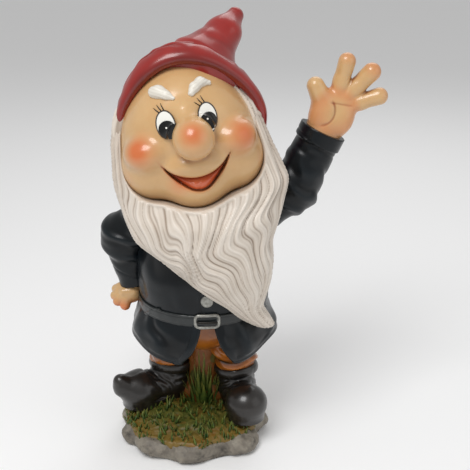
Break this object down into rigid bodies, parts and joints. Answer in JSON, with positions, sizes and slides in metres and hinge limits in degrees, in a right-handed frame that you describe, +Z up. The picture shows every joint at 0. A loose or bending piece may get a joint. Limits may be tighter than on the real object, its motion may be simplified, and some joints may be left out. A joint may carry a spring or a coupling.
{
  "type": "garden gnome figurine",
  "caption": "Painted resin garden gnome standing on a rock base, one arm raised to wave and the other hand on its hip.",
  "frame": {"origin": "centre of the base's flat underside", "axes": "+Z up, the face looks along -Y, and +X is the gnome's own left"},
  "size_m": [0.2238, 0.1545, 0.35],
  "materials": {
    "rock_paint": "matte",
    "turf_paint": "satin",
    "bare_resin": "matte",
    "bung_rubber": "matte",
    "boot_paint": "gloss",
    "trouser_paint": "satin",
    "coat_paint": "satin",
    "belt_paint": "satin",
    "silver_paint": "gloss",
    "skin_paint": "satin",
    "eye_white_paint": "gloss",
    "eye_black_paint": "gloss",
    "beard_paint": "satin",
    "tongue_paint": "satin",
    "hat_paint": "gloss"
  },
  "bodies": {
    "root": {"rock_base": "rock_paint", "turf": "turf_paint", "grass_tuft": "turf_paint", "base_plate": "bare_resin", "base_bung": "bung_rubber", "left_boot": "boot_paint", "right_boot": "boot_paint", "left_trouser_leg": "trouser_paint", "right_trouser_leg": "trouser_paint", "trouser_seat": "trouser_paint", "coat_skirt": "coat_paint", "coat_body": "coat_paint", "left_sleeve": "coat_paint", "right_sleeve": "coat_paint", "belt": "belt_paint", "belt_buckle": "silver_paint", "buckle_prong": "silver_paint", "coat_button": "silver_paint", "head": "skin_paint", "left_hand": "skin_paint", "right_hand": "skin_paint", "left_eye": "eye_white_paint", "right_eye": "eye_white_paint", "left_pupil": "eye_black_paint", "right_pupil": "eye_black_paint", "beard": "beard_paint", "hair": "beard_paint", "left_eyebrow": "beard_paint", "right_eyebrow": "beard_paint", "tongue": "tongue_paint", "hat_brim": "hat_paint", "hat_crown": "hat_paint"}
  },
  "joints": []
}
